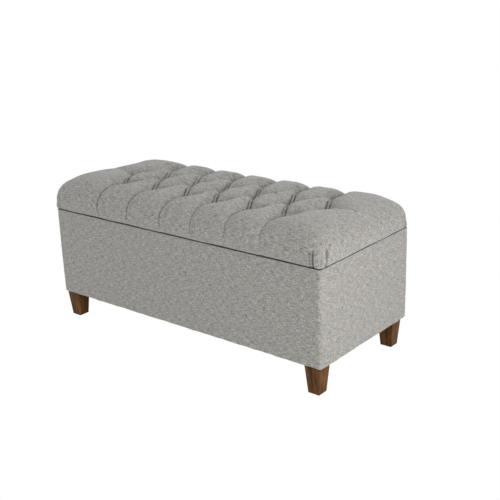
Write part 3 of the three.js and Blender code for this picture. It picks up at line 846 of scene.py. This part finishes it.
def make_box_upholstery():
    rng = np.random.default_rng(SEED + 1)
    outside, inside = box_section()
    section = outside + inside
    rings = []
    flat, _ = box_ring(BOX_X, BOX_Y, BOX_CORNER)
    run = np.r_[0, np.cumsum(np.hypot(*np.diff(np.vstack([flat, flat[:1]]), axis=0).T))]
    phases = rng.uniform(0, math.tau, 3)
    low, top = cover_low.z, cover_high.z
    for k, (inset, z) in enumerate(section):
        inner_corner = 5 * MM if inset < 4 * MM else 2 * MM
        radius = max(2 * MM, BOX_CORNER - inset) if k < len(outside) else inner_corner
        xy, normal = box_ring(BOX_X - inset, BOX_Y - inset, radius)
        heights = np.full(len(xy), z)
        if k < len(outside) and inset < 6 * MM:
            # The wall swells a little between its edges, and isn't quite even.
            bulge = BOX_SWELL * math.sin(math.pi * (z - low) / (top - low))
            around = run[:-1]
            # The same random waves on every round of the section.
            waves = np.random.default_rng(SEED + 2)
            uneven = ripple(around, np.full_like(around, z), waves, 12, 50 * MM, 260 * MM)
            xy = xy + normal * (bulge + 0.28 * MM * uneven)[:, None]
            near_bottom = math.exp(-((z - low) / (14 * MM)) ** 2)
            sag = sum(
                np.sin(math.tau * around / length + phase) for length, phase in zip(SAG_LENGTHS, phases)
            )
            heights = heights + 0.32 * MM * near_bottom * sag
        rings.append(np.c_[xy, heights])
    per_ring, count = len(rings[0]), len(rings)
    points = np.vstack(rings)
    index = np.arange(count * per_ring).reshape(count, per_ring)
    nxt_ring = np.roll(index, -1, 0)
    nxt_point, both = np.roll(index, -1, 1), np.roll(nxt_ring, -1, 1)
    faces = np.stack([index, nxt_point, both, nxt_ring], -1).reshape(-1, 4)
    down = np.r_[0, np.cumsum(np.hypot(*np.diff(np.array(section), axis=0).T))]
    down = np.r_[down, down[-1] + 1 * MM]
    columns, levels = np.meshgrid(np.arange(per_ring), np.arange(count))
    corners = [(columns + i, levels + j) for i, j in ((0, 0), (1, 0), (1, 1), (0, 1))]
    cloth = [np.stack([run[c] + BOX_CLOTH_FROM, down[r]], -1) for c, r in corners]
    cloth = np.stack(cloth, -2).reshape(-1, 2)
    piece = make_piece("box_upholstery", points, faces.tolist(), cloth)
    # Painted shade on the rim's top and on the cloth inside the box, to darken the seam.
    turned_in_painted_shade = [TURNED_IN_PAINTED_SHADE * float(z > top - 1 * MM or k >= len(outside)) for k, (_, z) in enumerate(section)]
    store_painted_shade(piece, np.repeat(turned_in_painted_shade, per_ring))
    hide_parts("base_cover")


make_box_upholstery()


# ---- studio ----

FLOOR_SIZE = 60.0
DOME_RADIUS = 28.0
FLOOR_LEVEL, FLOOR_GLOW = 0.8, 0.36  # of the floor that light bounces off
WORLD_LIGHT = 0.87
KEY_TOWARDS = (0.85, -0.21, 0.30)  # low, from the bench's right end
KEY_DISTANCE = 3.1
KEY_SIZE = 1.5
KEY_POWER = 54  # in watts
KEY_AIM = (0, 0, 0.3)


def plain_stage_material(name, level, glow):
    n = Nodes(name)
    return n.finish(
        Base_Color=grey(level), Roughness=0.9, Emission_Color=(1, 1, 1, 1), Emission_Strength=glow,
        Specular_IOR_Level=0.0,
    )


def make_studio():
    scene = bpy.context.scene
    scene.view_settings.view_transform = "Standard"

    def floor(name, level, glow, z):
        bpy.ops.mesh.primitive_plane_add(size=FLOOR_SIZE, location=(0, 0, z))
        plane = bpy.context.object
        plane.name = name
        plane.data.materials.append(plain_stage_material(name, level, glow))
        return plane

    # The camera sees the white floor, and the light bounces off the pale one just above it.
    white = floor("white_floor", 0.0, 1.0, -1 * MM)
    white.visible_diffuse = white.visible_glossy = white.visible_shadow = False
    pale = floor("pale_floor", FLOOR_LEVEL, FLOOR_GLOW, 0)
    pale.visible_camera = False

    def card(name, size, at, rotation=(0, 0, 0)):
        bpy.ops.mesh.primitive_plane_add(size=1, location=at, rotation=rotation)
        plane = bpy.context.object
        plane.name = name
        plane.scale = (*size, 1)
        plane.data.materials.append(plain_stage_material(name, 0.0, 0.0))
        plane.visible_camera = plane.visible_glossy = plane.visible_shadow = False

    # One dark card takes some light off the back of the right end, and one lies under the bench.
    card("card_behind", (0.85, 0.85), (1.05, 0.62, 0.43), (math.radians(90), 0, 0))
    card("card_under", (0.98, 0.40), (0, 0.01, 1 * MM))

    bpy.ops.mesh.primitive_uv_sphere_add(radius=DOME_RADIUS, segments=48, ring_count=24)
    dome = bpy.context.object
    dome.name = "backdrop"
    dome.data.materials.append(plain_stage_material("pale_backdrop", 0.0, 1.0))
    dome.visible_diffuse = dome.visible_glossy = dome.visible_shadow = False

    world = bpy.data.worlds.new("studio")
    world.use_nodes = True
    background = world.node_tree.nodes["Background"]
    background.inputs["Color"].default_value = (1.0, 1.0, 1.0, 1.0)
    background.inputs["Strength"].default_value = WORLD_LIGHT
    scene.world = world

    data = bpy.data.lights.new("key", "AREA")
    data.shape, data.size, data.energy = "DISK", KEY_SIZE, KEY_POWER
    light = bpy.data.objects.new("key", data)
    scene.collection.objects.link(light)
    direction = Vector(KEY_TOWARDS).normalized()
    light.location = Vector(KEY_AIM) + KEY_DISTANCE * direction
    light.rotation_mode = "QUATERNION"
    light.rotation_quaternion = direction.to_track_quat("Z", "Y")


make_studio()
